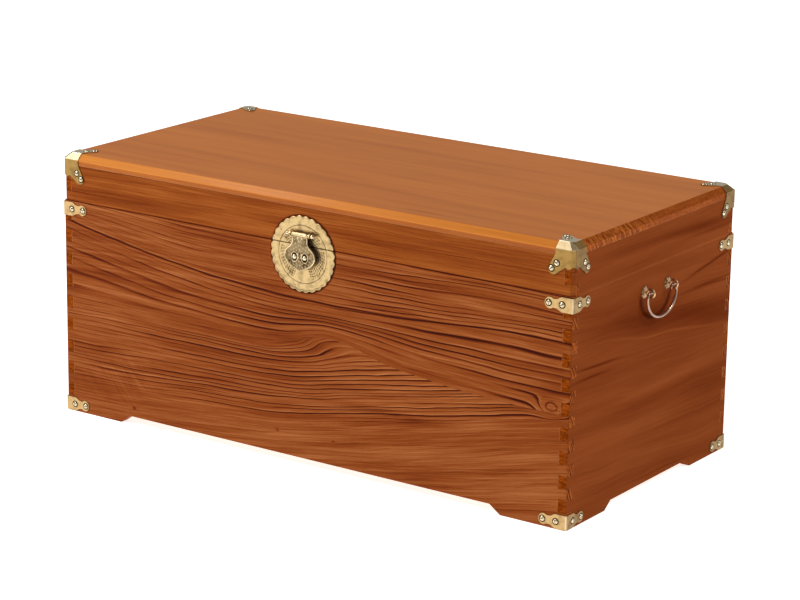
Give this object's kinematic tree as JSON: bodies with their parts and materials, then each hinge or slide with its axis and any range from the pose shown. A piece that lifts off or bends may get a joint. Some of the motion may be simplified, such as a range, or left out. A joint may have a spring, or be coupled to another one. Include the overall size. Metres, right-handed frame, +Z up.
{
  "type": "wooden storage chest",
  "caption": "Rectangular dovetailed wooden chest with a hinged lid, brass corner fittings, a round lock plate with a hasp, bail handles on the ends and cut-out feet.",
  "frame": {"origin": "middle of the footprint of the whole object, on the floor under the feet", "axes": "+X along the length to the right, the lock and hasp face -Y, +Z up"},
  "size_m": [1.0396, 0.521, 0.4515],
  "materials": {
    "board_wood": "satin varnish over orange-brown wood with bold dark grain",
    "lid_wood": "satin varnish, finer grain",
    "inside_wood": "planed, unvarnished",
    "brass": "satin pale brass, stamped and engraved",
    "handle_brass": "polished wire, grey-gold"
  },
  "bodies": {
    "case": {"front_board": "board_wood", "back_board": "board_wood", "left_board": "board_wood", "right_board": "board_wood", "bottom_panel": "inside_wood", "upper_strap_front_right": "brass", "upper_strap_front_left": "brass", "upper_strap_back_right": "brass", "upper_strap_back_left": "brass", "lower_strap_front_right": "brass", "lower_strap_front_left": "brass", "lower_strap_back_right": "brass", "lower_strap_back_left": "brass", "lock_plate_lower": "brass", "lock_post_left": "brass", "lock_post_right": "brass", "left_rosette_front": "brass", "left_rosette_back": "brass", "left_bail_eye_front": "brass", "left_bail_eye_back": "brass", "right_rosette_front": "brass", "right_rosette_back": "brass", "right_bail_eye_front": "brass", "right_bail_eye_back": "brass", "hinge_left_body_leaf": "brass", "hinge_left_pin": "brass", "hinge_right_body_leaf": "brass", "hinge_right_pin": "brass"},
    "lid": {"lid_front_rail": "board_wood", "lid_back_rail": "board_wood", "lid_left_rail": "board_wood", "lid_right_rail": "board_wood", "lid_top_panel": "lid_wood", "lid_guard_front_right": "brass", "lid_guard_front_left": "brass", "lid_guard_back_right": "brass", "lid_guard_back_left": "brass", "lock_plate_upper": "brass", "hasp_eye_left": "brass", "hasp_eye_right": "brass", "hasp_pin": "brass", "hinge_left_lid_leaf": "brass", "hinge_right_lid_leaf": "brass"},
    "hasp": {"hasp": "brass"},
    "left_bail": {"left_bail": "handle_brass"},
    "right_bail": {"right_bail": "handle_brass"}
  },
  "joints": [
    {"name": "lid_hinge", "type": "hinge", "parent": "case", "child": "lid", "pos_m": [0, 0.25645, 0.37], "axis": [-1, 0, 0], "range_deg": [0, 100]},
    {"name": "hasp_swing", "type": "hinge", "parent": "lid", "child": "hasp", "pos_m": [0, -0.25685, 0.389], "axis": [-1, 0, 0], "range_deg": [0, 180]},
    {"name": "left_bail_swing", "type": "hinge", "parent": "case", "child": "left_bail", "pos_m": [-0.512, 0.00215, 0.331], "axis": [0, 1, 0], "range_deg": [-12, 190]},
    {"name": "right_bail_swing", "type": "hinge", "parent": "case", "child": "right_bail", "pos_m": [0.512, 0.00215, 0.331], "axis": [0, -1, 0], "range_deg": [-12, 190]}
  ]
}
